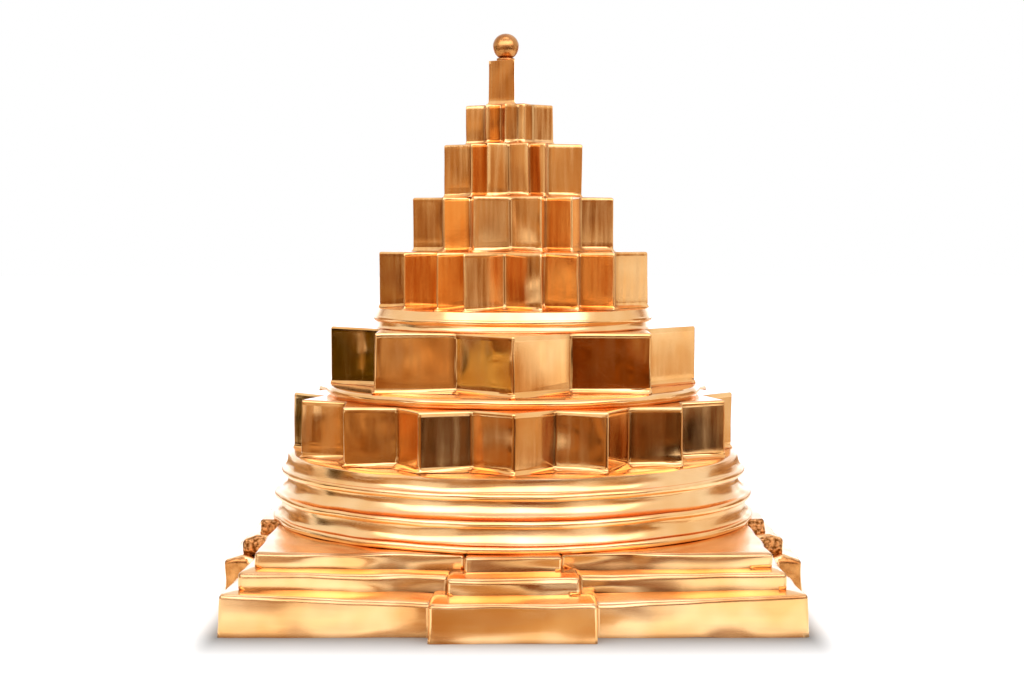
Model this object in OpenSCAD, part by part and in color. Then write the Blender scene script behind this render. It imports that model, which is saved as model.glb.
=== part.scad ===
// Meru shri yantra: the yantra raised into a stepped mountain of cast metal tiers.
// Each tier is its own casting. They stack on round bosses and a tie rod clamps them from below.
// The front faces -Y, the floor is Z = 0 and the axis of the stack is Z. Lengths are in millimetres.

/* [Square plinths] */
// Width of the lowest plinth, without its gates
base_w = 150; // [120:0.5:180]
// Height of the lowest plinth at its edge
base_h = 9.9; // [8:0.1:16]
// Width of the middle plinth, without its gates
middle_w = 140.8; // [110:0.2:150]
// Height of the middle plinth at its edge
middle_h = 3.9; // [2.5:0.1:8]
// Width of the upper plinth, without its gates
upper_w = 134; // [100:0.5:145]
// Height of the upper plinth
upper_h = 3.9; // [2.5:0.1:8]
// Rise of the sloping tread of the lowest plinth
base_tread = 1.4; // [0.4:0.1:3]
// Rise of the sloping tread of the middle plinth
middle_tread = 1.2; // [0.4:0.1:3]

/* [Gates] */
// Width of a gate of the lowest plinth
base_gate_w = 42.4; // [20:0.2:70]
// How far a gate of the lowest plinth stands out
base_gate_out = 7.2; // [3:0.1:12]
// Width of a gate of the middle plinth
middle_gate_w = 33.4; // [16:0.2:60]
// How far a gate of the middle plinth stands out
middle_gate_out = 6.8; // [3:0.1:12]
// Width of a gate of the upper plinth
upper_gate_w = 24.8; // [12:0.2:50]
// How far a gate of the upper plinth stands out
upper_gate_out = 6; // [3:0.1:12]

/* [Hollow of the base] */
// Thickness of the wall round the hollow under the lowest plinth
base_wall = 7; // [4:0.5:15]
// Depth of that hollow
base_hollow = 6; // [5.5:0.1:7]

/* [Girdle rings] */
// How far the lip of the lowest ring stands out past that of the middle ring
lower_ring_out = 0.4; // [0:0.1:2]
// Height of the lowest ring
lower_ring_h = 6.4; // [4.5:0.1:12]
// Radius of the middle ring at its lip
middle_ring_r = 69.6; // [54:0.2:74]
// Height of the middle ring
middle_ring_h = 6.8; // [4.5:0.1:12]
// Radius of the upper ring at its lip
upper_ring_r = 67.6; // [52:0.2:72]
// Height of the upper ring up to the edge of its crown
upper_ring_h = 5.6; // [4:0.1:12]
// Height of the rolled lip at the foot of a ring
lip_h = 2; // [1:0.1:3]
// How far the lip swells out past the foot of the hollow wall above it
lip_swell = 0.7; // [0.3:0.1:1.5]
// How far a lip stands out past the wall below it
ring_ledge = 2; // [0.3:0.1:3]
// Rise of the crown from its edge to the foot of the sixteen petals
crown_rise = 0.75; // [0.2:0.05:2]
// How far the edge of the crown stands out past the sixteen petals
crown_margin = 1.1; // [0.4:0.1:3]

/* [Petal tiers] */
// Radius of the sixteen petals at their tips
sixteen_r = 64.6; // [50:0.2:70]
// Radius of the notches between the sixteen petals
sixteen_notch_r = 56; // [44:0.2:62]
// Height of the sixteen petals
sixteen_h = 16.2; // [10:0.1:24]
// Radius of the eight petals at their tips
eight_r = 53.6; // [42:0.2:58]
// Radius of the notches between the eight petals
eight_notch_r = 41.2; // [32:0.2:50]
// Height of the eight petals
eight_h = 16.6; // [10:0.1:24]
// Spread of the foot in the notches between the petals
petal_spread = 1.02; // [1.01:0.01:1.08]

/* [Collars] */
// Thickness of the rounded rim of a collar
collar_rim = 2.1; // [1.2:0.1:3]
// How far the rim of a collar stands out past the tier that it carries
collar_margin = 1; // [0.4:0.1:2]
// Angle at which the round rim of a collar runs into its sloping neck
collar_turn = 45; // [20:5:70]
// Height of the drawn-in foot under the rim of the lower collar
lower_collar_foot = 0.5; // [0.3:0.1:2]
// Height of the drawn-in foot under the rim of the upper collar
upper_collar_foot = 1.8; // [0.5:0.1:3]
// Height of the neck between the rim of the lower collar and its tier
lower_collar_neck = 0.3; // [0.2:0.1:2]
// Height of the neck between the rim of the upper collar and its tier
upper_collar_neck = 1.7; // [0.4:0.1:3]

/* [Triangle tiers] */
// Radius of the circle that holds the nine triangles
circle_r = 39.6; // [32:0.2:44]
// Turn of the triangle tiers against the square plinths, in degrees
tier_turn = -3; // [-10:0.5:10]
// Height of the fourteen-cornered tier
fourteen_h = 16.3; // [10:0.1:24]
// Height of the outer ten-cornered tier
outer_ten_h = 15.8; // [10:0.1:24]
// Height of the inner ten-cornered tier
inner_ten_h = 15.4; // [10:0.1:24]
// Enlargement of the inner ten-cornered tier from its place in the figure
inner_ten_grow = 1.03; // [0.9:0.01:1.05]
// Height of the eight-cornered tier
eight_corner_h = 11.4; // [10.5:0.1:20]
// Enlargement of the eight-cornered tier along the axis of the figure
eight_corner_long = 1.2; // [0.95:0.01:1.25]
// Enlargement of the eight-cornered tier across the axis of the figure
eight_corner_wide = 1.08; // [0.95:0.01:1.1]
// Height of the spread foot of a tier
foot_h = 1; // [0.6:0.1:3]
// Spread of the foot in the notches of a triangle tier
foot_spread = 1.06; // [1.02:0.01:1.16]

/* [Finial] */
// Height of the triangular prism
triangle_h = 12.9; // [8:0.1:20]
// Enlargement of the triangular prism from its place in the figure
triangle_grow = 1.19; // [0.9:0.01:1.3]
// How far the prism and the bindu stand off the axis of the stack
finial_shift = 2.1; // [0:0.1:3]
// Diameter of the bindu
bindu_d = 7.6; // [5.5:0.1:10]
// Diameter of the neck under the bindu
neck_d = 4.6; // [3.6:0.1:5]
// Height of the neck under the bindu
neck_h = 1.1; // [0.8:0.1:4]
// Diameter of the ring at the foot of the neck
neck_ring_d = 5.4; // [4:0.1:6]
// Height of that ring
neck_ring_h = 0.7; // [0.4:0.1:0.9]
// Diameter of the shank that holds the bindu
shank_d = 2.4; // [1.6:0.1:2.8]
// Length of the shank inside the eight-cornered tier
shank_grip = 3; // [2:0.1:3.5]

/* [Fixing] */
// Diameter of the boss that centres a tier
boss_d = 24; // [16:0.5:28]
// Diameter of the boss under the inner ten-cornered tier
small_boss_d = 15; // [10:0.5:16]
// Diameter of the boss under the eight-cornered tier
least_boss_d = 9.4; // [8.4:0.1:11]
// Height of a boss
boss_h = 1.5; // [0.8:0.1:2]
// Diameter of the tie rod
rod_d = 6; // [4:0.1:6.6]
// Length of the tie rod inside the eight-cornered tier
rod_grip = 5; // [3:0.1:6]
// Length of the tie rod below its nut
rod_tail = 0.6; // [0.3:0.1:1]
// Width of the clamp nut across its flats
nut_flats = 10; // [8:0.1:14]
// Height of the clamp nut
nut_h = 3; // [2:0.1:3.2]
// Diameter of the clamp washer
washer_d = 18; // [15:0.5:30]
// Thickness of the clamp washer
washer_h = 1.4; // [0.8:0.1:1.6]
// Gap all round the tie rod, the bosses and the shank
clearance = 0.2; // [0.05:0.05:0.4]

/* [Hidden] */
$fn = 96;
eps = 0.01;

gold = [0.80, 0.53, 0.28];
deep_gold = [0.66, 0.40, 0.19];
pale_gold = [0.90, 0.66, 0.38];
steel = [0.62, 0.63, 0.65];

// Heights of the stack, each piece standing on the one before it
middle_z = base_h + base_tread;
upper_z = middle_z + middle_h + middle_tread;
lower_ring_z = upper_z + upper_h;
middle_ring_z = lower_ring_z + lower_ring_h;
upper_ring_z = middle_ring_z + middle_ring_h;
lower_ring_r = middle_ring_r + lower_ring_out;
sixteen_z = upper_ring_z + upper_ring_h + crown_rise;
lower_collar_z = sixteen_z + sixteen_h;
lower_collar_h = lower_collar_foot + collar_rim + lower_collar_neck;
eight_z = lower_collar_z + lower_collar_h;
upper_collar_z = eight_z + eight_h;
upper_collar_h = upper_collar_foot + collar_rim + upper_collar_neck;
fourteen_z = upper_collar_z + upper_collar_h;
outer_ten_z = fourteen_z + fourteen_h;
inner_ten_z = outer_ten_z + outer_ten_h;
eight_corner_z = inner_ten_z + inner_ten_h;
triangle_z = eight_corner_z + eight_corner_h;
bindu_z = triangle_z + triangle_h;

// The nine triangles, in parts of the circle: their base lines lie at these parts of its diameter
parts = 48;
line_parts = [6, 12, 17, 20, 23, 27, 30, 36, 42];
// Each base line is cut back at both ends by these parts of its chord
cut_parts = [3, 4, 0, 16, 18, 16, 0, 4, 3];
// The tip of each triangle touches this line, counted from 1, or the circle itself at 0 and 10
tip_line = [6, 9, 10, 8, 7, 2, 0, 1, 3];
unit = 2 * circle_r / parts;

// Place of line i along the axis of the figure, from its centre
function line_at(i) = i == 0 ? -circle_r : i == 10 ? circle_r : line_parts[i - 1] * unit - circle_r;
// Half the length of the base of triangle i
function base_half(i) = sqrt(circle_r ^ 2 - line_at(i) ^ 2) * (1 - 2 * cut_parts[i - 1] / parts);
function tip_at(i) = line_at(tip_line[i - 1]);
// How fast the side of triangle i draws in along the axis
function side_slope(i) = base_half(i) / (line_at(i) - tip_at(i));

// Corners of the figure as [along, across]: a tip, an end of a base, a side on a base line, two sides
function tip(i) = [tip_at(i), 0];
function end(i) = [line_at(i), base_half(i)];
function on(i, line) = [line_at(line), side_slope(i) * (line_at(line) - tip_at(i))];
function cross_at(i, k) =
  (side_slope(i) * tip_at(i) - side_slope(k) * tip_at(k)) / (side_slope(i) - side_slope(k));
function crossing(i, k) = [cross_at(i, k), side_slope(i) * (cross_at(i, k) - tip_at(i))];

// A whole outline from its half, which runs from tip to tip on one side of the axis
function mirrored(half) =
  concat([for (p = half) [p.x, -p.y]], [for (k = [len(half) - 2 : -1 : 1]) half[k]]);
function grown(outline, along, across) = [for (p = outline) [p.x * along, p.y * across]];

fourteen_corners = mirrored([
  tip(7), on(7, 1), end(1), on(1, 2), end(2), on(2, 3), end(3), crossing(3, 7),
  end(7), on(8, 7), end(8), on(9, 8), end(9), on(3, 9), tip(3)
]);
outer_ten_corners = mirrored([
  tip(8), on(8, 2), crossing(1, 7), on(1, 3), crossing(2, 7), crossing(2, 8),
  crossing(3, 8), on(9, 7), crossing(3, 9), on(2, 8), tip(2)
]);
inner_ten_corners = grown(mirrored([
  tip(6), on(6, 3), crossing(1, 8), on(1, 4), end(4), crossing(4, 6),
  end(6), on(9, 6), crossing(2, 9), on(4, 7), tip(4)
]), inner_ten_grow, inner_ten_grow);
eight_corners = grown(mirrored([
  tip(9), on(9, 4), crossing(1, 6), crossing(1, 9), crossing(5, 6), crossing(5, 9),
  crossing(4, 9), on(5, 6), tip(5)
]), eight_corner_long, eight_corner_wide);

// The innermost triangle lies between line 5 and the tip of triangle 1, and points the other way here
prism_base_half = on(1, 5).y * triangle_grow;
prism_len = (tip_at(1) - line_at(5)) * triangle_grow;
prism_side = norm([prism_base_half, prism_len]);
prism_inner_r = prism_base_half * prism_len / (prism_base_half + prism_side);
prism_corners = [
  [prism_inner_r - prism_len, 0],
  [prism_inner_r, -prism_base_half],
  [prism_inner_r, prism_base_half]
];

// A plinth in plan: a square with a gate in the middle of each side
function turned(p, a) = [p.x * cos(a) - p.y * sin(a), p.x * sin(a) + p.y * cos(a)];
function plinth_corners(half, gate_half, gate_out) = [
  for (side = [0 : 3], p = [
    [-half, -half],
    [-gate_half, -half],
    [-gate_half, -half - gate_out],
    [gate_half, -half - gate_out],
    [gate_half, -half]
  ]) turned(p, side * 90)
];

// A star with one tip to the front
function star_corners(count, tip_r, notch_r) = [
  for (k = [0 : 2 * count - 1])
    let (a = -90 + k * 180 / count, r = k % 2 == 0 ? tip_r : notch_r) [r * cos(a), r * sin(a)]
];

// Points of a rolled rim of height h that swells out to radius r, from its foot at height z to a last angle
rim_steps = 10;
function rim_points(r, z, h, swell, last = 90) = [
  for (k = [0 : rim_steps])
    let (a = (last + 90) * k / rim_steps - 90) [r - swell + swell * cos(a), z + h / 2 * (1 + sin(a))]
];
// Points of a hollow wall that leaves its low end level and comes upright at its high end
cove_steps = 8;
function cove_points(low, high) = [
  for (k = [1 : cove_steps])
    let (a = 90 * k / cove_steps)
      [high.x + (low.x - high.x) * (1 - sin(a)), low.y + (high.y - low.y) * (1 - cos(a))]
];

rod_hole_r = rod_d / 2 + clearance;
shank_hole_r = shank_d / 2 + clearance;
washer_z = base_hollow - washer_h;
nut_z = washer_z - nut_h;
rod_z = nut_z - rod_tail;
rod_top_z = eight_corner_z + rod_grip;
socket_h = boss_h + clearance;
neck_top = sqrt((bindu_d / 2) ^ 2 - (neck_d / 2) ^ 2);
bindu_centre_z = bindu_z + neck_h + neck_top;

module rod_hole(z, h) {
  translate([0, 0, z - eps]) cylinder(r = rod_hole_r, h = h + 2 * eps);
}

// Boss under a tier, reaching down from height z
module boss(z, d, h = boss_h) {
  translate([0, 0, z - h]) cylinder(d = d, h = h + eps);
}

// Socket in the top of a piece whose top is at height z
module socket(z, d) {
  translate([0, 0, z - socket_h]) cylinder(d = d + 2 * clearance, h = socket_h + eps);
}

module prism_of(corners, z, h) {
  translate([0, 0, z]) linear_extrude(h) polygon(corners);
}

module turn_tier() {
  rotate([0, 0, tier_turn]) children();
}

// Foot of a tier: the tips stay where they are and the notches between them are filled out downwards
module spread_foot(corners, z, spread) {
  count = len(corners);
  low = [
    for (k = [0 : count - 1])
      let (p = corners[k] * (k % 2 == 0 ? 1 : spread)) [p.x, p.y, z]
  ];
  high = [for (p = corners) [p.x, p.y, z + foot_h]];
  middle = [[0, 0, z], [0, 0, z + foot_h]];
  polyhedron(
    concat(low, high, middle),
    [
      for (k = [0 : count - 1], part = [0 : 3])
        let (next = (k + 1) % count) [
          [2 * count, k, next],
          [k, count + k, count + next],
          [k, count + next, next],
          [2 * count + 1, count + next, count + k]
        ][part]
    ]
  );
}

module footed_prism(corners, z, h, spread) {
  spread_foot(corners, z, spread);
  prism_of(corners, z + foot_h, h - foot_h);
}

module corner_tier(corners, z, h) {
  turn_tier() footed_prism(corners, z, h, foot_spread);
}

module base_plinth() {
  corners = plinth_corners(base_w / 2, base_gate_w / 2, base_gate_out);
  hollow_w = base_w - 2 * base_wall;
  color(pale_gold) difference() {
    union() {
      prism_of(corners, 0, base_h);
      translate([0, 0, base_h]) linear_extrude(base_tread, scale = middle_w / base_w) polygon(corners);
    }
    translate([-hollow_w / 2, -hollow_w / 2, -eps]) cube([hollow_w, hollow_w, base_hollow + eps]);
    rod_hole(0, middle_z);
    socket(middle_z, boss_d);
  }
}

module middle_plinth() {
  corners = plinth_corners(middle_w / 2, middle_gate_w / 2, middle_gate_out);
  color(gold) difference() {
    union() {
      prism_of(corners, middle_z, middle_h);
      translate([0, 0, middle_z + middle_h])
        linear_extrude(middle_tread, scale = upper_w / middle_w) polygon(corners);
      boss(middle_z, boss_d);
    }
    rod_hole(middle_z - boss_h, upper_z - middle_z + boss_h);
    socket(upper_z, boss_d);
  }
}

module upper_plinth() {
  color(pale_gold) difference() {
    union() {
      prism_of(plinth_corners(upper_w / 2, upper_gate_w / 2, upper_gate_out), upper_z, upper_h);
      boss(upper_z, boss_d);
    }
    rod_hole(upper_z - boss_h, upper_h + boss_h);
    socket(lower_ring_z, boss_d);
  }
}

// A girdle ring: a rolled lip at its foot and a hollow wall up to the radius at its top
module girdle_ring(r, z, wall_h, top_r, crown = []) {
  profile = concat(
    [[0, z]],
    rim_points(r, z, lip_h, lip_swell),
    cove_points([r - lip_swell, z + lip_h], [top_r, z + wall_h]),
    crown,
    [[0, z + wall_h + (len(crown) > 0 ? crown_rise : 0)]]
  );
  difference() {
    union() {
      rotate_extrude() polygon(profile);
      boss(z, boss_d);
    }
    rod_hole(z - boss_h, wall_h + crown_rise + boss_h);
    socket(z + wall_h + (len(crown) > 0 ? crown_rise : 0), boss_d);
  }
}

module lower_ring() {
  color(gold) girdle_ring(lower_ring_r, lower_ring_z, lower_ring_h, middle_ring_r - ring_ledge);
}

module middle_ring() {
  color(pale_gold) girdle_ring(middle_ring_r, middle_ring_z, middle_ring_h, upper_ring_r - ring_ledge);
}

module upper_ring() {
  color(gold)
    girdle_ring(upper_ring_r, upper_ring_z, upper_ring_h, sixteen_r + crown_margin, [[sixteen_r, sixteen_z]]);
}

module petal_tier(count, tip_r, notch_r, z, h, boss_len) {
  difference() {
    union() {
      footed_prism(star_corners(count, tip_r, notch_r), z, h, petal_spread);
      boss(z, boss_d, boss_len);
    }
    rod_hole(z - boss_len, h + boss_len);
    socket(z + h, boss_d);
  }
}

module sixteen_petal_tier() {
  color(deep_gold) petal_tier(16, sixteen_r, sixteen_notch_r, sixteen_z, sixteen_h, boss_h);
}

// The boss of a tier on a collar goes through the collar into the tier below it
module eight_petal_tier() {
  color(deep_gold) petal_tier(8, eight_r, eight_notch_r, eight_z, eight_h, lower_collar_h + boss_h);
}

// A collar: a drawn-in foot, a rounded rim and a neck that slopes up to the tier that it carries
module collar(tier_r, z, foot, neck) {
  rim_r = tier_r + collar_margin;
  rim_z = z + foot;
  top_z = rim_z + collar_rim + neck;
  bore_r = boss_d / 2 + clearance;
  rotate_extrude() polygon(concat(
    [[bore_r, z], [rim_r, z]],
    cove_points([rim_r, z], [rim_r - collar_rim / 2, rim_z]),
    rim_points(rim_r, rim_z, collar_rim, collar_rim / 2, collar_turn),
    [[tier_r, top_z], [bore_r, top_z]]
  ));
}

module lower_collar() {
  color(gold) collar(eight_r, lower_collar_z, lower_collar_foot, lower_collar_neck);
}

module upper_collar() {
  color(gold) collar(circle_r, upper_collar_z, upper_collar_foot, upper_collar_neck);
}

module fourteen_corner_tier() {
  boss_len = upper_collar_h + boss_h;
  color(deep_gold) difference() {
    union() {
      corner_tier(fourteen_corners, fourteen_z, fourteen_h);
      boss(fourteen_z, boss_d, boss_len);
    }
    rod_hole(fourteen_z - boss_len, fourteen_h + boss_len);
    socket(outer_ten_z, boss_d);
  }
}

module outer_ten_tier() {
  color(gold) difference() {
    union() {
      corner_tier(outer_ten_corners, outer_ten_z, outer_ten_h);
      boss(outer_ten_z, boss_d);
    }
    rod_hole(outer_ten_z - boss_h, outer_ten_h + boss_h);
    socket(inner_ten_z, small_boss_d);
  }
}

module inner_ten_tier() {
  color(deep_gold) difference() {
    union() {
      corner_tier(inner_ten_corners, inner_ten_z, inner_ten_h);
      boss(inner_ten_z, small_boss_d);
    }
    rod_hole(inner_ten_z - boss_h, inner_ten_h + boss_h);
    socket(eight_corner_z, least_boss_d);
  }
}

// The tie rod screws into this tier from below, and the shank of the bindu from above
module eight_corner_tier() {
  color(gold) difference() {
    union() {
      corner_tier(eight_corners, eight_corner_z, eight_corner_h);
      boss(eight_corner_z, least_boss_d);
    }
    rod_hole(eight_corner_z - boss_h, rod_grip + boss_h + clearance);
    at_finial(triangle_z - shank_grip - clearance)
      cylinder(r = shank_hole_r, h = shank_grip + clearance + eps);
  }
}

module at_finial(z) {
  turn_tier() translate([-finial_shift, 0, z]) children();
}

module triangle_prism() {
  color(deep_gold) difference() {
    at_finial(0) prism_of(prism_corners, triangle_z, triangle_h);
    at_finial(triangle_z - eps) cylinder(r = shank_hole_r, h = triangle_h + 2 * eps);
  }
}

module bindu() {
  color(pale_gold) union() {
    at_finial(bindu_centre_z) sphere(d = bindu_d);
    at_finial(bindu_z) cylinder(d = neck_d, h = neck_h + neck_top);
    at_finial(bindu_z) cylinder(d = neck_ring_d, h = neck_ring_h);
    at_finial(triangle_z - shank_grip) cylinder(d = shank_d, h = shank_grip + triangle_h + eps);
  }
}

module tie_rod() {
  color(steel) translate([0, 0, rod_z]) cylinder(d = rod_d, h = rod_top_z - rod_z);
}

module clamp_washer() {
  color(steel) difference() {
    translate([0, 0, washer_z]) cylinder(d = washer_d, h = washer_h);
    rod_hole(washer_z, washer_h);
  }
}

module clamp_nut() {
  color(steel) difference() {
    translate([0, 0, nut_z]) cylinder(d = nut_flats / cos(30), h = nut_h, $fn = 6);
    rod_hole(nut_z, nut_h);
  }
}

base_plinth();
middle_plinth();
upper_plinth();
lower_ring();
middle_ring();
upper_ring();
sixteen_petal_tier();
lower_collar();
eight_petal_tier();
upper_collar();
fourteen_corner_tier();
outer_ten_tier();
inner_ten_tier();
eight_corner_tier();
triangle_prism();
bindu();
tie_rod();
clamp_washer();
clamp_nut();
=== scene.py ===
import math

import bmesh
import bpy
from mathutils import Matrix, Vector, kdtree, noise


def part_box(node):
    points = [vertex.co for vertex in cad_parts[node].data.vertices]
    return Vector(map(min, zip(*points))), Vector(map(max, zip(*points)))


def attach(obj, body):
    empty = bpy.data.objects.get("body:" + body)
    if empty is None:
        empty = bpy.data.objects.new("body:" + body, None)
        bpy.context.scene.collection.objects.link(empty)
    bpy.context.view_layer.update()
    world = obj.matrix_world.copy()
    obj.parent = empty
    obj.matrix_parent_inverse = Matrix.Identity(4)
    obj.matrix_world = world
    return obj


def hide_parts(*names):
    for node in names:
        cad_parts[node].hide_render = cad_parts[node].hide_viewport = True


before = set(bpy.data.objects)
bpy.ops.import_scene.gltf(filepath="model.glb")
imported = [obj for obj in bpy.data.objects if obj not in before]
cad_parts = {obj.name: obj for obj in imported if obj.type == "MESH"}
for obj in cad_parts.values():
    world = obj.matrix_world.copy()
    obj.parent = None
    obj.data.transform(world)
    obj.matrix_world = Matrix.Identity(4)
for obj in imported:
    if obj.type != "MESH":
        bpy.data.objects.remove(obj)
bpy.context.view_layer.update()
mm = 0.001
print("frame loaded with", len(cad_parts), "nodes")

# The camera stands a forearm in front, just above half height, and looks slightly down
cameraView = {"lens": 62.8, "sensor": 36, "place": (-0.3, -524.4, 101.9), "tipDown": 3.32}
bpy.ops.object.camera_add(
    location=Vector(cameraView["place"]) * mm,
    rotation=(math.radians(90 - cameraView["tipDown"]), 0, 0),
)
camera = bpy.context.object
camera.data.lens = cameraView["lens"]
camera.data.sensor_width = cameraView["sensor"]
bpy.context.scene.camera = camera
bpy.context.scene.view_settings.view_transform = "Standard"


def linear(hexColour):
    parts = [int(hexColour[k:k + 2], 16) / 255 for k in (1, 3, 5)]
    return tuple(c / 12.92 if c <= 0.04045 else ((c + 0.055) / 1.055) ** 2.4 for c in parts) + (1,)


def addNode(tree, kind, settings=(), links=()):
    node = tree.nodes.new(kind)
    for key, value in dict(settings).items():
        if isinstance(key, int) or key in node.inputs:
            node.inputs[key].default_value = value
        else:
            setattr(node, key, value)
    for key, source in dict(links).items():
        tree.links.new(source, node.inputs[key])
    return node


def newMaterial(name):
    material = bpy.data.materials.new(name)
    material.use_nodes = True
    material.node_tree.nodes.clear()
    return material, material.node_tree


# Copper-rich brass, cast and then polished by hand: a mirror that is never quite flat.
# The eye sees warm gold, long soft streaks from the buffing wheel, a deeper tone in patches, and
# brown along the creases: partly tarnish, partly painted shade. Lengths are in millimetres. A band is
# the stretch of a noise that counts, and ragged is how much of that brown a deep and a pale patch hold.
polish = {
    "pale": "#FBC98A",
    "deep": "#F1B068",
    "shadeAndTarnish": "#7A4214",
    "patch": 14,
    "streakAcross": 2.6,
    "streakAlong": 26,
    "streakShare": 0.1,
    "patchBand": (0.35, 0.65),
    "streakBand": (0.4, 0.6),
    "ragged": (1.2, 0.7),
    "roughBand": (0.3, 0.7),
    "roughLow": 0.06,
    "roughHigh": 0.15,
    "bump": 0.05,
    "bumpDepth": 0.05,
}


def polishedBrass(name, across, along, look=polish):
    material, tree = newMaterial(name)
    place = addNode(tree, "ShaderNodeTexCoord").outputs["Object"]
    stretch = [1 / (size * mm) for size in (across, across, along)]
    streakPlace = addNode(tree, "ShaderNodeMapping", {"Scale": stretch}, {"Vector": place})
    streaks = addNode(
        tree, "ShaderNodeTexNoise", {"Scale": 1, "Detail": 3}, {"Vector": streakPlace.outputs["Vector"]}
    )
    patches = addNode(
        tree, "ShaderNodeTexNoise", {"Scale": 1 / (look["patch"] * mm), "Detail": 2}, {"Vector": place}
    )
    streakShare = look["streakShare"]
    wear = addNode(
        tree,
        "ShaderNodeMath",
        {"operation": "MULTIPLY_ADD", 1: streakShare},
        {0: streaks.outputs["Fac"], 2: patches.outputs["Fac"]},
    )
    wearLow, wearHigh = [
        patch + streak * streakShare for patch, streak in zip(look["patchBand"], look["streakBand"])
    ]
    wearShare = addNode(
        tree,
        "ShaderNodeMapRange",
        {"From Min": wearLow, "From Max": wearHigh},
        {"Value": wear.outputs["Value"]},
    )
    tone = addNode(tree, "ShaderNodeValToRGB", {}, {"Fac": wearShare.outputs["Result"]})
    for element, shade in zip(tone.color_ramp.elements, ("deep", "pale")):
        element.color = linear(look[shade])
    # The mask paints brown along the creases and plinth lines: partly tarnish, partly painted shade
    shadeAndTarnishMask = addNode(tree, "ShaderNodeAttribute", {"attribute_name": "shadeAndTarnishMask"})
    ragged = addNode(
        tree,
        "ShaderNodeMapRange",
        {"To Min": look["ragged"][0], "To Max": look["ragged"][1]},
        {"Value": wearShare.outputs["Result"]},
    )
    paintedDarkening = addNode(
        tree,
        "ShaderNodeMath",
        {"operation": "MULTIPLY"},
        {0: shadeAndTarnishMask.outputs["Fac"], 1: ragged.outputs["Result"]},
    )
    shadedAndTarnished = addNode(
        tree,
        "ShaderNodeMix",
        {"data_type": "RGBA", 7: linear(look["shadeAndTarnish"])},
        {0: paintedDarkening.outputs["Value"], 6: tone.outputs["Color"]},
    )
    rough = addNode(
        tree,
        "ShaderNodeMapRange",
        {
            "From Min": look["roughBand"][0],
            "From Max": look["roughBand"][1],
            "To Min": look["roughLow"],
            "To Max": look["roughHigh"],
        },
        {"Value": streaks.outputs["Fac"]},
    )
    bump = addNode(
        tree,
        "ShaderNodeBump",
        {"Strength": look["bump"], "Distance": look["bumpDepth"] * mm},
        {"Height": streaks.outputs["Fac"]},
    )
    shader = addNode(
        tree,
        "ShaderNodeBsdfPrincipled",
        {"Metallic": 1},
        {
            "Base Color": shadedAndTarnished.outputs[2],
            "Roughness": rough.outputs["Result"],
            "Normal": bump.outputs["Normal"],
        },
    )
    addNode(tree, "ShaderNodeOutputMaterial", {}, {"Surface": shader.outputs["BSDF"]})
    return material


uprightPolish = polishedBrass("brass polished upright", polish["streakAcross"], polish["streakAlong"])
# The narrow upper faces keep the strokes of the file under their polish
stroked = dict(polish, streakAcross=1.3, streakAlong=20, streakShare=0.8, roughLow=0.09, roughHigh=0.19)
strokedPolish = polishedBrass(
    "brass filed and polished", stroked["streakAcross"], stroked["streakAlong"], stroked
)
# The broad plinths and rings are buffed less finely, so what they mirror is blurred
broad = dict(polish, pale="#FBCD94", deep="#F1B672", roughLow=0.13, roughHigh=0.25)
broadPolish = polishedBrass("brass polished broadly", broad["streakAlong"], broad["streakAcross"], broad)
# The ball and the base's near side cheeks are browner and a little dull; on the ball the browner tone is
# painted shade
brownerDull = dict(polish, pale="#D09456", deep="#AC6E36", patch=3, roughLow=0.22, roughHigh=0.32)
brownerDullPolish = polishedBrass(
    "brass browner and duller", brownerDull["streakAcross"], brownerDull["streakAcross"], brownerDull
)

# Brass left as it came from the sand: brown and pitted, it catches the light in grains
sandCast = {
    "pale": "#D89C60",
    "deep": "#6A3F18",
    "grain": 0.9,
    "toneBand": (0.4, 0.62),
    "rough": 0.42,
    "bump": 0.9,
    "bumpDepth": 0.5,
}


def castBrass():
    material, tree = newMaterial("brass as sand cast")
    place = addNode(tree, "ShaderNodeTexCoord").outputs["Object"]
    grains = addNode(
        tree, "ShaderNodeTexNoise", {"Scale": 1 / (sandCast["grain"] * mm), "Detail": 4}, {"Vector": place}
    )
    tone = addNode(tree, "ShaderNodeValToRGB", {}, {"Fac": grains.outputs["Fac"]})
    for element, position, shade in zip(tone.color_ramp.elements, sandCast["toneBand"], ("deep", "pale")):
        element.position = position
        element.color = linear(sandCast[shade])
    bump = addNode(
        tree,
        "ShaderNodeBump",
        {"Strength": sandCast["bump"], "Distance": sandCast["bumpDepth"] * mm},
        {"Height": grains.outputs["Fac"]},
    )
    shader = addNode(
        tree,
        "ShaderNodeBsdfPrincipled",
        {"Metallic": 1, "Roughness": sandCast["rough"]},
        {"Base Color": tone.outputs["Color"], "Normal": bump.outputs["Normal"]},
    )
    addNode(tree, "ShaderNodeOutputMaterial", {}, {"Surface": shader.outputs["BSDF"]})
    return material


roughBrass = castBrass()

# Turned mild steel for the fixing: cool grey with fine rings from the lathe
steelLook = {
    "colour": "#A9ABB0",
    "ring": 0.35,
    "wobble": 1.5,
    "rough": 0.32,
    "bump": 0.25,
    "bumpDepth": 0.03,
}
wavesPerUnit = 3  # about as many as a wave texture has at a scale of 1


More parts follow.
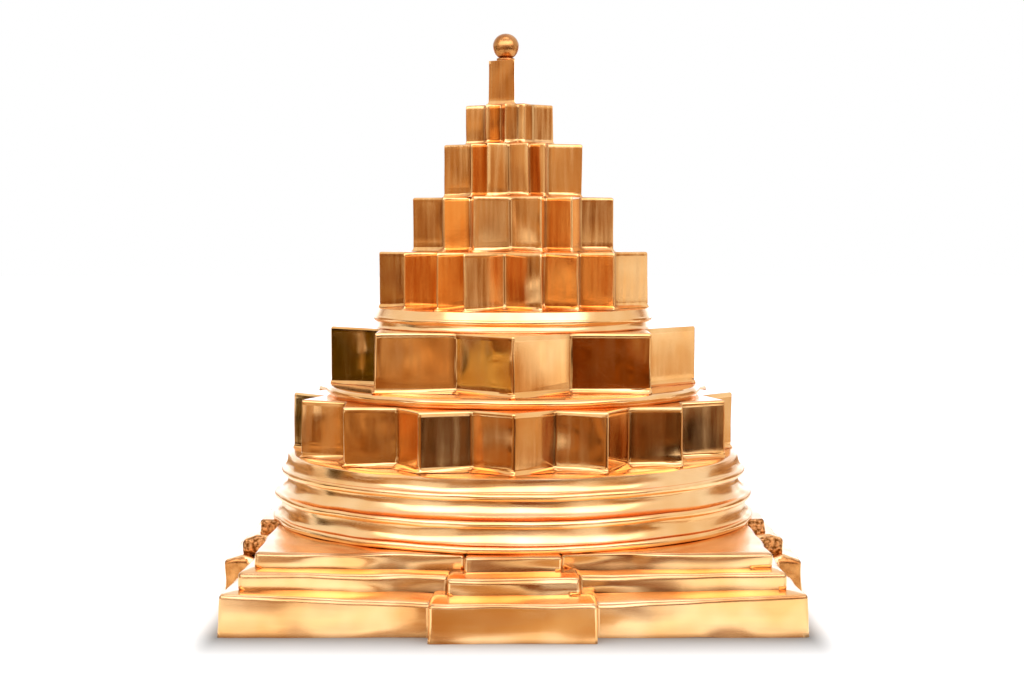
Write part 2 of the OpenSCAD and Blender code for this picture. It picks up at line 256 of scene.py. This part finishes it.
def turnedSteel():
    material, tree = newMaterial("turned mild steel")
    place = addNode(tree, "ShaderNodeTexCoord").outputs["Object"]
    grooves = addNode(
        tree,
        "ShaderNodeTexWave",
        {
            "bands_direction": "Z",
            "Scale": 1 / (steelLook["ring"] * mm) / wavesPerUnit,
            "Distortion": steelLook["wobble"],
            "Detail": 2,
        },
        {"Vector": place},
    )
    bump = addNode(
        tree,
        "ShaderNodeBump",
        {"Strength": steelLook["bump"], "Distance": steelLook["bumpDepth"] * mm},
        {"Height": grooves.outputs["Fac"]},
    )
    shader = addNode(
        tree,
        "ShaderNodeBsdfPrincipled",
        {"Metallic": 1, "Base Color": linear(steelLook["colour"]), "Roughness": steelLook["rough"]},
        {"Normal": bump.outputs["Normal"]},
    )
    addNode(tree, "ShaderNodeOutputMaterial", {}, {"Surface": shader.outputs["BSDF"]})
    return material


steel = turnedSteel()
print("materials made")

# Stage: white floor and sky, a soft box above, and cards for the metal to mirror.
# The paper's colour is darker close to the base, a painted shadow, and it glows a little more further
# out, where that shadow fades; near the base it also glows for the metal alone, a painted gleam.
# Its bands are reaches from the axis in millimetres, the base's own edge being baseHalf, and sideways
# they are passed sooner.
stage = {
    "floorSize": 8000,
    "sky": 0.75,
    "paperShade": {"from": 76, "to": 99, "near": 0.3, "far": 0.85},
    "edgeLift": {"from": 80, "to": 112, "near": 0, "far": 0.2},
    "farLift": {"from": 300, "to": 1200, "near": 0, "far": 0.3},
    "nearGleam": {"from": 84, "to": 150, "near": 0.5, "far": 0},
    "sideways": 3.5,
    "baseHalf": 75,
}


def eitherRay(tree, *names):
    rays = addNode(tree, "ShaderNodeLightPath")
    total = rays.outputs[names[0]]
    for name in names[1:]:
        both = addNode(tree, "ShaderNodeMath", {"operation": "MAXIMUM"}, {0: total, 1: rays.outputs[name]})
        total = both.outputs["Value"]
    return total


def fadeByReach(tree, reach, band):
    fade = addNode(
        tree,
        "ShaderNodeMapRange",
        {
            "From Min": band["from"] * mm,
            "From Max": band["to"] * mm,
            "To Min": band["near"],
            "To Max": band["far"],
        },
        {"Value": reach},
    )
    return fade.outputs["Result"]


world = bpy.data.worlds.new("white studio")
bpy.context.scene.world = world
world.use_nodes = True
sky = world.node_tree
sky.nodes.clear()
seen = ("Is Camera Ray", "Is Glossy Ray", "Is Transmission Ray")
skyLevel = addNode(
    sky, "ShaderNodeMapRange", {"To Min": stage["sky"], "To Max": 1}, {"Value": eitherRay(sky, *seen)}
)
skyLight = addNode(
    sky, "ShaderNodeBackground", {"Color": (1, 1, 1, 1)}, {"Strength": skyLevel.outputs["Result"]}
)
addNode(sky, "ShaderNodeOutputWorld", {}, {"Surface": skyLight.outputs["Background"]})

bpy.ops.mesh.primitive_plane_add(size=stage["floorSize"] * mm)
floor = bpy.context.object
floor.name = "floor"
paper, paperTree = newMaterial("matt white paper")
paperPlace = addNode(paperTree, "ShaderNodeTexCoord").outputs["Object"]
paperAway = addNode(paperTree, "ShaderNodeVectorMath", {"operation": "ABSOLUTE"}, {0: paperPlace})
paperOut = addNode(
    paperTree,
    "ShaderNodeVectorMath",
    {"operation": "SUBTRACT", 1: (stage["baseHalf"] * mm, stage["baseHalf"] * mm, 0)},
    {0: paperAway.outputs["Vector"]},
)
paperClear = addNode(
    paperTree,
    "ShaderNodeVectorMath",
    {"operation": "MAXIMUM", 1: (0, 0, 0)},
    {0: paperOut.outputs["Vector"]},
)
paperSides = addNode(
    paperTree,
    "ShaderNodeVectorMath",
    {"operation": "MULTIPLY", 1: (stage["sideways"], 1, 0)},
    {0: paperClear.outputs["Vector"]},
)
paperGap = addNode(
    paperTree, "ShaderNodeVectorMath", {"operation": "LENGTH"}, {0: paperSides.outputs["Vector"]}
)
paperReach = addNode(
    paperTree,
    "ShaderNodeMath",
    {"operation": "ADD", 1: stage["baseHalf"] * mm},
    {0: paperGap.outputs["Value"]},
).outputs["Value"]
paperLift = None
for band, rays in (("edgeLift", seen), ("farLift", seen), ("nearGleam", ("Is Glossy Ray",))):
    level = addNode(
        paperTree,
        "ShaderNodeMath",
        {"operation": "MULTIPLY"},
        {0: fadeByReach(paperTree, paperReach, stage[band]), 1: eitherRay(paperTree, *rays)},
    ).outputs["Value"]
    if paperLift:
        both = addNode(paperTree, "ShaderNodeMath", {"operation": "ADD"}, {0: paperLift, 1: level})
        level = both.outputs["Value"]
    paperLift = level
paperShader = addNode(
    paperTree,
    "ShaderNodeBsdfPrincipled",
    {"Roughness": 1, "Specular IOR Level": 0, "Emission Color": (1, 1, 1, 1)},
    {"Base Color": fadeByReach(paperTree, paperReach, stage["paperShade"]), "Emission Strength": paperLift},
)
addNode(paperTree, "ShaderNodeOutputMaterial", {}, {"Surface": paperShader.outputs["BSDF"]})
floor.data.materials.append(paper)

softBox = {"place": (0, 60, 1000), "size": 1200, "power": 8.5}
bpy.ops.object.light_add(type="AREA", location=Vector(softBox["place"]) * mm)
lamp = bpy.context.object
lamp.name = "softBox"
lamp.data.size = softBox["size"] * mm
lamp.data.energy = softBox["power"]

# Cards that only the metal sees. Each row has a bearing, 0 at the camera and 90 at its right, and a
# width in degrees. Mats lie on the floor between two distances, and walls and bright screens stand
# between two heights. Overhead, dim cards hide the lamp, and a gleam in front whitens the arrises.
cards = {
    "blotch": 90,
    "blotchBand": (0.35, 0.65),
    "reach": 1300,
    "screenGap": 40,
    "tones": {
        "umber": ("#1C1402", "#6A5410"),
        "russet": ("#2A1002", "#A85C18"),
        "dark": ("#120802", "#8A6240"),
        "brown": ("#3E200A", "#C48A50"),
        "mid": ("#7A4C24", "#ECC08C"),
        "amber": ("#A06820", "#FCE090"),
        "tan": ("#A87A4C", "#F0CCA0"),
        "fawn": ("#C09058", "#F8D8A8"),
        "pale": ("#D8B890", "#FFFFFF"),
        "screen": ("#F4F0FF", "#F4F0FF"),
    },
    "mats": [
        (-128, 30, 360, 1300, "mid"),
        (-98.5, 17, 360, 1300, "umber"),
        (-86, 8, 290, 1300, "amber"),
        (-71, 22, 290, 800, "brown"),
        (-51, 18, 290, 1300, "mid"),
        (-34, 16, 290, 1300, "brown"),
        (-20, 12, 215, 1300, "mid"),
        (-10.5, 9, 215, 1300, "brown"),
        (-3.5, 5, 215, 1300, "mid"),
        (6, 14, 215, 1300, "russet"),
        (16, 6, 215, 1300, "dark"),
        (34, 30, 300, 1000, "dark"),
        (51.5, 5, 300, 750, "brown"),
        (59.5, 11, 300, 750, "dark"),
        (70, 10, 330, 1300, "mid"),
        (81, 12, 330, 1300, "tan"),
        (101, 20, 360, 1300, "pale"),
        (128, 30, 360, 1300, "mid"),
        (150, 14, 330, 1300, "mid"),
        (164, 14, 330, 1300, "fawn"),
        (180, 18, 330, 1300, "tan"),
        (-164, 14, 330, 1300, "fawn"),
        (-150, 14, 330, 1300, "mid"),
        (0, 32, 92, 150, "fawn"),
    ],
    "walls": [
        (-128, 30, 1, 330, "mid"),
        (-98, 12, 1, 290, "umber"),
        (-86, 10, 1, 290, "brown"),
        (-70.5, 21, 1, 400, "mid"),
        (-57, 6, 1, 340, "pale"),
        (-15, 30, 1, 150, "mid"),
        (4, 8, 1, 150, "russet"),
        (19, 22, 1, 150, "mid"),
        (0, 60, 190, 290, "brown"),
        (48, 9, 1, 330, "tan"),
        (57, 9, 105, 330, "brown"),
        (56, 4, 50, 105, "brown"),
        (65, 7, 1, 290, "mid"),
        (71, 5, 150, 350, "mid"),
        (128, 30, 1, 330, "mid"),
    ],
    "screens": [
        (0, 44, 430, 700, 3.2),
        (0, 44, 700, 1400, 3.6),
        (-44, 44, 430, 700, 3.2),
        (-44, 44, 700, 1400, 3.6),
        (44, 44, 430, 700, 3.2),
        (44, 44, 700, 1400, 3.6),
        (180, 60, 40, 300, 2),
    ],
    "overhead": {"high": 900, "inner": 10, "outer": 860, "parts": 6, "strength": 1.1},
    "gleam": {"high": 880, "inner": 150, "outer": 420, "width": 110, "strength": 3.6},
}


def cardPaint(tone, strength=1):
    name = f"card {tone} {strength}"
    if name in bpy.data.materials:
        return bpy.data.materials[name]
    material, tree = newMaterial(name)
    place = addNode(tree, "ShaderNodeTexCoord").outputs["Object"]
    blotches = addNode(
        tree, "ShaderNodeTexNoise", {"Scale": 1 / (cards["blotch"] * mm), "Detail": 2}, {"Vector": place}
    )
    colour = addNode(tree, "ShaderNodeValToRGB", {}, {"Fac": blotches.outputs["Fac"]})
    shades = cards["tones"][tone]
    for element, position, shade in zip(colour.color_ramp.elements, cards["blotchBand"], shades):
        element.position = position
        element.color = linear(shade)
    paint = addNode(tree, "ShaderNodeEmission", {"Strength": strength}, {"Color": colour.outputs["Color"]})
    addNode(tree, "ShaderNodeOutputMaterial", {}, {"Surface": paint.outputs["Emission"]})
    return material


def toneCard(bearing, width, ends, tone, strength=1):
    bpy.ops.mesh.primitive_plane_add(size=1)
    card = bpy.context.object
    card.name = f"card_{tone}_{bearing}"
    corners = [(reach, height, side) for reach, height in ends for side in (-0.5, 0.5)]
    for vert, (reach, height, side) in zip(card.data.vertices, corners):
        a = math.radians(bearing + side * width)
        vert.co = Vector((reach * math.sin(a), -reach * math.cos(a), height)) * mm
    for kind in ("camera", "diffuse", "shadow", "transmission", "volume_scatter"):
        setattr(card, "visible_" + kind, False)
    card.data.materials.append(cardPaint(tone, strength))


far = cards["reach"]
screenFar = far + cards["screenGap"]
for bearing, width, near, matFar, tone in cards["mats"]:
    toneCard(bearing, width, ((near, 1), (matFar, 1)), tone)
for bearing, width, foot, top, tone in cards["walls"]:
    toneCard(bearing, width, ((far, foot), (far, top)), tone)
for bearing, width, foot, top, strength in cards["screens"]:
    toneCard(bearing, width, ((screenFar, foot), (screenFar, top)), "screen", strength)
overhead = cards["overhead"]
for k in range(overhead["parts"]):
    ends = [(overhead[edge], overhead["high"]) for edge in ("inner", "outer")]
    width = 360 / overhead["parts"]
    toneCard(k * width, width, ends, "screen", overhead["strength"])
gleam = cards["gleam"]
ends = [(gleam[edge], gleam["high"]) for edge in ("inner", "outer")]
toneCard(0, gleam["width"], ends, "screen", gleam["strength"])
print("stage set")


def openPiece(piece):
    bpy.ops.object.select_all(action="DESELECT")
    piece.select_set(True)
    bpy.context.view_layer.objects.active = piece
    bpy.ops.object.mode_set(mode="EDIT")


def pick(piece, kind, test):
    bpy.ops.mesh.select_mode(type=kind)
    bpy.ops.mesh.select_all(action="DESELECT")
    shape = bmesh.from_edit_mesh(piece.data)
    found = 0
    for part in shape.edges if kind == "EDGE" else shape.faces:
        if test(part):
            part.select_set(True)
            found += 1
    shape.select_flush_mode()
    bmesh.update_edit_mesh(piece.data)
    return found


# Points this close count as one, heights this close to the seat as on it, and faces this flat as one
weld = {"points": 0.002, "heights": 0.01, "flatAngle": 0.6}
arrisSegments = 4
smoothAngle = 42


def roundArrises(width):
    bpy.ops.mesh.bevel(offset=width * mm, segments=arrisSegments, affect="EDGES", clamp_overlap=True)


def copyOf(node, name):
    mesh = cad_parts[node].data.copy()
    mesh.name = name
    mesh.materials.clear()
    piece = bpy.data.objects.new(name, mesh)
    bpy.context.collection.objects.link(piece)
    openPiece(piece)
    bpy.ops.mesh.select_all(action="SELECT")
    bpy.ops.mesh.remove_doubles(threshold=weld["points"] * mm)
    bpy.ops.mesh.dissolve_limited(angle_limit=math.radians(weld["flatAngle"]))
    return piece


def middleOf(edge):
    return (edge.verts[0].co + edge.verts[1].co) / 2


def isLevel(edge):
    return abs(edge.verts[0].co.z - edge.verts[1].co.z) < weld["points"] * mm


# A face or an edge counts as upright by this much of its normal or length
upright = 0.9


# Cuts through the whole piece, and columns along its walls, give the hand finish points to move
def slicePiece(direction, places):
    for place in places:
        bpy.ops.mesh.select_all(action="SELECT")
        bpy.ops.mesh.bisect(plane_co=Vector(direction) * place, plane_no=direction)


def steps(low, high, step):
    count = max(2, round((high - low) / (step * mm)))
    return [low + (high - low) * k / count for k in range(1, count)]


def columnWalls(piece, column, outside):
    shape = bmesh.from_edit_mesh(piece.data)
    lengths = {round(e.calc_length() / mm, 1) for e in shape.edges if isLevel(e) and outside(middleOf(e))}
    for length in sorted(lengths):
        cuts = round(length / column) - 1
        if cuts < 1:
            continue
        pick(piece, "EDGE", lambda e: isLevel(e) and outside(middleOf(e))
             and round(e.calc_length() / mm, 1) == length
             and any(abs(f.normal.z) < upright for f in e.link_faces))
        bpy.ops.mesh.subdivide(number_cuts=cuts)


# Hand filing: each piece bows by a fraction of a millimetre, over waves as long as a finger is wide
filingFields = {}


def filingField(direction, wave):
    key = (direction, wave)
    if key not in filingFields:
        field = bpy.data.textures.new(f"filing {direction} {wave}", "CLOUDS")
        field.noise_scale = wave * mm
        field.noise_depth = 1
        filingFields[key] = field
    return filingFields[key]


# Read before any point moves, because a moved point makes the mesh work its normals out again
def levelNormals(piece):
    return [Vector((vert.normal.x, vert.normal.y, 0)) for vert in piece.data.vertices]


def fileByHand(piece, filing):
    # Long level strokes of the file leave shallow furrows in the sides
    if "strokes" in filing:
        strokes = filing["strokes"]
        along, across = strokes["along"] * mm, strokes["across"] * mm
        for vert, flat in zip(piece.data.vertices, levelNormals(piece)):
            if math.hypot(vert.co.x, vert.co.y) > strokes["outside"] * mm:
                furrow = noise.noise(Vector((vert.co.x / along, vert.co.y / along, vert.co.z / across)))
                vert.co += flat * (furrow * strokes["depth"] * mm)
    for direction, depth in filing["depth"].items():
        bow = piece.modifiers.new("filing", "DISPLACE")
        bow.texture = filingField(direction, filing["wave"])
        bow.texture_coords = "LOCAL"
        bow.direction = direction
        bow.strength = depth * mm
        bow.mid_level = 0.5
        bpy.ops.object.modifier_apply(modifier=bow.name)


def share(value, low, high):
    return min(1, max(0, (value - low) / (high - low)))


# Brown is painted along the upright notches, where two faces meet at more than a slight angle: partly
# tarnish, partly painted shade
shadeAndTarnish = {"width": 1.5, "weight": 0.55, "notchAngle": 25}


def isUpright(edge):
    return abs(edge.verts[0].co.z - edge.verts[1].co.z) > upright * edge.calc_length()


def notchesOf(piece, outside):
    edges = bmesh.from_edit_mesh(piece.data).edges
    shallowest = -math.radians(shadeAndTarnish["notchAngle"])
    hollow = [e for e in edges if e.calc_face_angle_signed(0) < shallowest and isUpright(e)]
    return [middleOf(e) for e in hollow if outside(middleOf(e))]


def paintShadeAndTarnish(piece, notches, paintedDarkening=None):
    tree = kdtree.KDTree(len(notches))
    for k, spot in enumerate(notches):
        tree.insert((spot.x, spot.y, 0), k)
    tree.balance()
    values = []
    for k, vert in enumerate(piece.data.vertices):
        gap = tree.find((vert.co.x, vert.co.y, 0))[2] if notches else 1
        dark = shadeAndTarnish["weight"] * (1 - share(gap, 0, shadeAndTarnish["width"] * mm))
        values.append(max(dark, paintedDarkening[k]) if paintedDarkening else dark)
    piece.data.attributes.new("shadeAndTarnishMask", "FLOAT", "POINT").data.foreach_set("value", values)


def finishPiece(piece, material, node, filing):
    bpy.ops.object.mode_set(mode="OBJECT")
    fileByHand(piece, filing)
    bpy.ops.object.shade_smooth_by_angle(angle=math.radians(smoothAngle))
    weighted = piece.modifiers.new("even normals", "WEIGHTED_NORMAL")
    weighted.keep_sharp = True
    bpy.ops.object.modifier_apply(modifier=weighted.name)
    piece.data.materials.append(material)
    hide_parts(node)
    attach(piece, "root")
    print(piece.name, len(piece.data.polygons), "faces")


# Square plinths: rounded arrises, and sides that sag a little from the corners towards the gates
plinths = {
    "base_plinth": {
        "seat": None, "half": 75, "next": 70.4, "gate": 21.2, "rise": 9.9,
        "sag": 3, "arris": 0.9, "row": 1.2,
    },
    "middle_plinth": {
        "seat": "base_plinth", "half": 70.4, "next": 67, "gate": 16.7, "rise": 3.9,
        "sag": 1.6, "arris": 1, "row": 0.8,
    },
    "upper_plinth": {
        "seat": "middle_plinth", "half": 67, "next": 62, "gate": 12.4, "rise": 3.9,
        "sag": 0, "arris": 1, "row": 0.8,
    },
}
plinthEdges = {"inset": 1, "angle": 40, "column": 3}
plinthSag = {"beyond": 0.3, "pivot": 0.6}
plinthSkirt = 0.5
plinthFlare = {"out": 0.4, "power": 5}
plinthCheeks = {"beyond": 0.6, "facing": 0.6}
plinthShadeLines = {"width": 0.7, "weight": 0.6, "edgeDrop": 0.4, "edgeWidth": 0.5, "edgeWeight": 0.85}
plinthFiling = {"wave": 14, "depth": {"X": 1.1, "Y": 1.1, "Z": 0.4}}
plinthStrokes = {"depth": 0.75, "along": 20, "across": 5, "outside": 60}
baseStrokes = {"depth": 0.3, "along": 26, "across": 9, "outside": 60}


def sagSides(piece, low, high, size):
    half = size["half"] * mm
    for vert in piece.data.vertices:
        reach = max(abs(vert.co.x), abs(vert.co.y))
        along = min(abs(vert.co.x), abs(vert.co.y))
        if reach < half + plinthSag["beyond"] * mm and vert.co.z > low:
            edge = share(reach, size["next"] * mm, half) * share(vert.co.z, low, high)
            tilt = share(along, size["gate"] * mm, half) - plinthSag["pivot"]
            vert.co.z += size["sag"] * mm * edge * tilt
        # The foot of a side sinks a little into the tread below it, and the lowest one spreads
        if reach > size["next"] * mm and abs(vert.co.z - low) < weld["heights"] * mm:
            vert.co.z -= plinthSkirt * mm if low else 0
        if reach > size["next"] * mm and not low:
            spread = 1 + plinthFlare["out"] * mm / reach * (1 - vert.co.z / high) ** plinthFlare["power"]
            vert.co.x *= spread
            vert.co.y *= spread


# A thin dark line is painted along the foot of each side, and another just under its arris: painted shade
def plinthLines(piece, low, size):
    edge = low + (size["rise"] - plinthShadeLines["edgeDrop"]) * mm
    lines = []
    for vert in piece.data.vertices:
        reach = max(abs(vert.co.x), abs(vert.co.y))
        foot = 1 - share(vert.co.z - low, 0, plinthShadeLines["width"] * mm)
        under = 1 - share(abs(vert.co.z - edge), 0, plinthShadeLines["edgeWidth"] * mm)
        if reach < (size["half"] - size["arris"]) * mm:
            under = 0
        lines.append(max(plinthShadeLines["weight"] * foot, plinthShadeLines["edgeWeight"] * under))
    return lines


def plinth(node, size):
    piece = copyOf(node, "cast_" + node)
    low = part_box(size["seat"])[1].z if size["seat"] else 0
    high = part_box(node)[1].z
    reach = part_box(node)[1].x
    inner = (size["next"] - plinthEdges["inset"]) * mm
    sharp = math.radians(plinthEdges["angle"])

    def outside(p):
        return max(abs(p.x), abs(p.y)) > inner and p.z > low + weld["heights"] * mm

    notches = notchesOf(piece, outside)
    pick(piece, "EDGE", lambda e: outside(middleOf(e)) and e.calc_face_angle(0) > sharp)
    roundArrises(size["arris"])
    slicePiece((0, 0, 1), steps(low, high, size["row"]))
    slicePiece((1, 0, 0), steps(-reach, reach, plinthEdges["column"]))
    slicePiece((0, 1, 0), steps(-reach, reach, plinthEdges["column"]))
    bpy.ops.object.mode_set(mode="OBJECT")
    paintShadeAndTarnish(piece, notches, plinthLines(piece, low, size))
    sagSides(piece, low, high, size)
    strokes = plinthStrokes if size["seat"] else baseStrokes
    finishPiece(piece, broadPolish, node, dict(plinthFiling, strokes=strokes))
    # The near cheeks of the two side gates are dull, and the upper ones were never filed smooth
    piece.data.materials.append(roughBrass if size["seat"] else brownerDullPolish)
    for face in piece.data.polygons:
        aside = abs(face.center.x) > (size["half"] + plinthCheeks["beyond"]) * mm
        if aside and face.center.y < 0 and face.normal.y < -plinthCheeks["facing"]:
            face.material_index = 1


for node, size in plinths.items():
    plinth(node, size)

# Tiers: upright walls with soft arrises and a foot that runs out into the tread below.
# No foot runs out past the limit, which is beyond reach where the piece below is wide enough.
tiers = {
    "sixteen_petal_tier": {
        "seat": "upper_ring", "inner": 14, "arris": 0.7, "row": 1.6, "column": 1.5,
        "fillet": 1.2, "limit": 64.7,
    },
    "eight_petal_tier": {
        "seat": "lower_collar", "inner": 14, "arris": 0.7, "row": 1.6, "column": 1.5,
        "fillet": 1.3, "limit": 53.7,
    },
    "fourteen_corner_tier": {
        "seat": "upper_collar", "inner": 14, "arris": 0.6, "row": 1.5, "column": 1.2,
        "fillet": 1.1, "limit": 39.7,
    },
    "outer_ten_tier": {
        "seat": "fourteen_corner_tier", "inner": 13, "arris": 0.6, "row": 1.5, "column": 1.2,
        "fillet": 1.2, "limit": 99,
    },
    "inner_ten_tier": {
        "seat": "outer_ten_tier", "inner": 8.5, "arris": 0.5, "row": 1.4, "column": 1,
        "fillet": 1.1, "limit": 99,
    },
    "eight_corner_tier": {
        "seat": "inner_ten_tier", "inner": 5.2, "arris": 0.45, "row": 1.2, "column": 0.8,
        "fillet": 1, "limit": 99,
    },
    "triangle_prism": {
        "seat": "eight_corner_tier", "inner": 0, "arris": 0.4, "row": 1.2, "column": 0.8,
        "fillet": 1.1, "limit": 99,
    },
}
tierFiling = {"wave": 18, "depth": {"X": 0.6, "Y": 0.6, "Z": 0.3}}
filletRows = (0.04, 0.15, 0.33, 0.6, 1)
filletFacing = 0.2
tierAngle = 25


# The foot of a tier runs out in a hollow curve, as far as the piece below it reaches
def filletFoot(piece, low, size):
    curve, limit = size["fillet"] * mm, size["limit"] * mm
    for vert, flat in zip(piece.data.vertices, levelNormals(piece)):
        rise = max(vert.co.z - low, 0)
        reach = math.hypot(vert.co.x, vert.co.y)
        atFoot = vert.co.z > low - weld["heights"] * mm and rise < curve
        if atFoot and reach > size["inner"] * mm and flat.length > filletFacing:
            vert.co += flat.normalized() * (curve - math.sqrt(curve ** 2 - (curve - rise) ** 2))
            inward = min(1, limit / math.hypot(vert.co.x, vert.co.y))
            vert.co.x *= inward
            vert.co.y *= inward


def tier(node, size):
    piece = copyOf(node, "cast_" + node)
    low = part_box(size["seat"])[1].z
    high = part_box(node)[1].z
    sharp = math.radians(tierAngle)

    def outside(p):
        return math.hypot(p.x, p.y) > size["inner"] * mm and p.z > low + weld["heights"] * mm

    notches = notchesOf(piece, outside)
    pick(piece, "EDGE", lambda e: outside(middleOf(e)) and e.calc_face_angle(0) > sharp)
    roundArrises(size["arris"])
    slicePiece((0, 0, 1), steps(low, high, size["row"]))
    slicePiece((0, 0, 1), [low + size["fillet"] * mm * row for row in filletRows])
    columnWalls(piece, size["column"], outside)
    bpy.ops.object.mode_set(mode="OBJECT")
    paintShadeAndTarnish(piece, notches)
    filletFoot(piece, low, size)
    finishPiece(piece, uprightPolish if "petal" in node else strokedPolish, node, tierFiling)


for node, size in tiers.items():
    tier(node, size)

for node in ("tie_rod", "clamp_washer", "clamp_nut"):
    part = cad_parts[node]
    part.data.materials.clear()
    part.data.materials.append(steel)

# Turned pieces: a profile of radius and height, spun round its axis and closed
turned = {"steps": 288, "rollSteps": 14, "coveSteps": 14, "weld": 0.001, "sliver": 0.0005}
girdles = {"lip": 2, "swell": 0.7, "ledge": 2, "crownRise": 0.75, "crownMargin": 1.1}
seating = {"rodHole": 3.2, "boss": 12, "bossHigh": 1.5, "clearance": 0.2}
ringFiling = {
    "wave": 17,
    "depth": {"X": 0.8, "Y": 0.8, "Z": 0.45},
    "strokes": {"depth": 0.3, "along": 24, "across": 5, "outside": 35},
}


def roll(r, z, h, swell, last=90):
    count = turned["rollSteps"]
    angles = [math.radians((last + 90) * k / count - 90) for k in range(count + 1)]
    return [(r - swell + swell * math.cos(a), z + h / 2 * (1 + math.sin(a))) for a in angles]


def cove(low, high):
    count = turned["coveSteps"]
    angles = [math.pi / 2 * k / count for k in range(1, count + 1)]
    return [
        (high[0] + (low[0] - high[0]) * (1 - math.sin(a)), low[1] + (high[1] - low[1]) * (1 - math.cos(a)))
        for a in angles
    ]


def spinProfile(name, profile, centre=(0, 0)):
    bpy.ops.object.select_all(action="DESELECT")
    bpy.ops.mesh.primitive_circle_add(vertices=len(profile))
    piece = bpy.context.object
    piece.name = name
    for vert, (r, z) in zip(piece.data.vertices, profile):
        vert.co = (centre[0] + r * mm, centre[1], z * mm)
    openPiece(piece)
    bpy.ops.mesh.select_all(action="SELECT")
    bpy.ops.mesh.spin(
        steps=turned["steps"], angle=math.tau, center=(centre[0], centre[1], 0), axis=(0, 0, 1)
    )
    bpy.ops.mesh.select_all(action="SELECT")
    bpy.ops.mesh.remove_doubles(threshold=turned["weld"] * mm)
    bpy.ops.mesh.dissolve_degenerate(threshold=turned["sliver"] * mm)
    bpy.ops.mesh.select_all(action="SELECT")
    bpy.ops.mesh.normals_make_consistent(inside=False)
    return piece


def topOf(node):
    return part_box(node)[1].z / mm


def reachOf(node):
    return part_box(node)[1].x / mm


def girdleRing(node, seat, topR, crown):
    r, low, high = reachOf(node), topOf(seat), topOf(node)
    edge = high - (girdles["crownRise"] if crown else 0)
    foot = (r - girdles["swell"], low + girdles["lip"])
    hole, boss, sink = seating["rodHole"], seating["boss"], low - seating["bossHigh"]
    socket, floorZ = boss + seating["clearance"], high - seating["bossHigh"] - seating["clearance"]
    profile = [(hole, sink), (boss, sink), (boss, low)] + roll(r, low, girdles["lip"], girdles["swell"])
    profile += cove(foot, (topR, edge)) + crown + [(socket, high), (socket, floorZ), (hole, floorZ)]
    finishPiece(spinProfile("cast_" + node, profile), broadPolish, node, ringFiling)


girdleRing("lower_ring", "upper_plinth", reachOf("middle_ring") - girdles["ledge"], [])
girdleRing("middle_ring", "lower_ring", reachOf("upper_ring") - girdles["ledge"], [])
starTip = reachOf("sixteen_petal_tier")
crownRim = [(starTip, topOf("upper_ring"))]
girdleRing("upper_ring", "middle_ring", starTip + girdles["crownMargin"], crownRim)

collars = {"rim": 2.1, "margin": 1, "bore": 12.2, "turn": 45, "lowerFoot": 0.5, "upperFoot": 1.8}


def tierCollar(node, seat, foot):
    rimR, low, high = reachOf(node), topOf(seat), topOf(node)
    rim = collars["rim"]
    profile = [(collars["bore"], low), (rimR, low)] + cove((rimR, low), (rimR - rim / 2, low + foot))
    profile += roll(rimR, low + foot, rim, rim / 2, collars["turn"])[1:]
    profile += [(rimR - collars["margin"], high), (collars["bore"], high)]
    finishPiece(spinProfile("cast_" + node, profile), broadPolish, node, ringFiling)


tierCollar("lower_collar", "sixteen_petal_tier", collars["lowerFoot"])
tierCollar("upper_collar", "eight_petal_tier", collars["upperFoot"])

# The bindu: a ball on a drawn-in neck with a rolled ring at its foot, and its shank below
finial = {"ball": 7.6, "neck": 4.4, "waist": 0.25, "ring": 5.4, "ringHigh": 0.8, "shank": 2.4, "arcs": 22}
finialFiling = {"wave": 6, "depth": {"X": 0.15, "Y": 0.15, "Z": 0.15}}


def bindu():
    low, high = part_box("bindu")
    seat = topOf("triangle_prism")
    ballR = finial["ball"] / 2
    ballZ = high.z / mm - ballR
    neckR = finial["neck"] / 2
    start = math.asin(neckR / ballR)
    angles = [start + (math.pi - start) * k / finial["arcs"] for k in range(finial["arcs"] + 1)]
    ball = [(ballR * math.sin(a), ballZ - ballR * math.cos(a)) for a in angles]
    ring = roll(finial["ring"] / 2, seat, finial["ringHigh"], finial["ringHigh"] / 2)
    shank = [(0, low.z / mm), (finial["shank"] / 2, low.z / mm), (finial["shank"] / 2, seat)]
    waist = cove(ring[-1], (neckR - finial["waist"], (ring[-1][1] + ball[0][1]) / 2))
    centre = ((low.x + high.x) / 2, (low.y + high.y) / 2)
    piece = spinProfile("cast_bindu", shank + ring + waist + ball, centre)
    # The ball's browner brass is painted shade
    finishPiece(piece, brownerDullPolish, "bindu", finialFiling)


bindu()
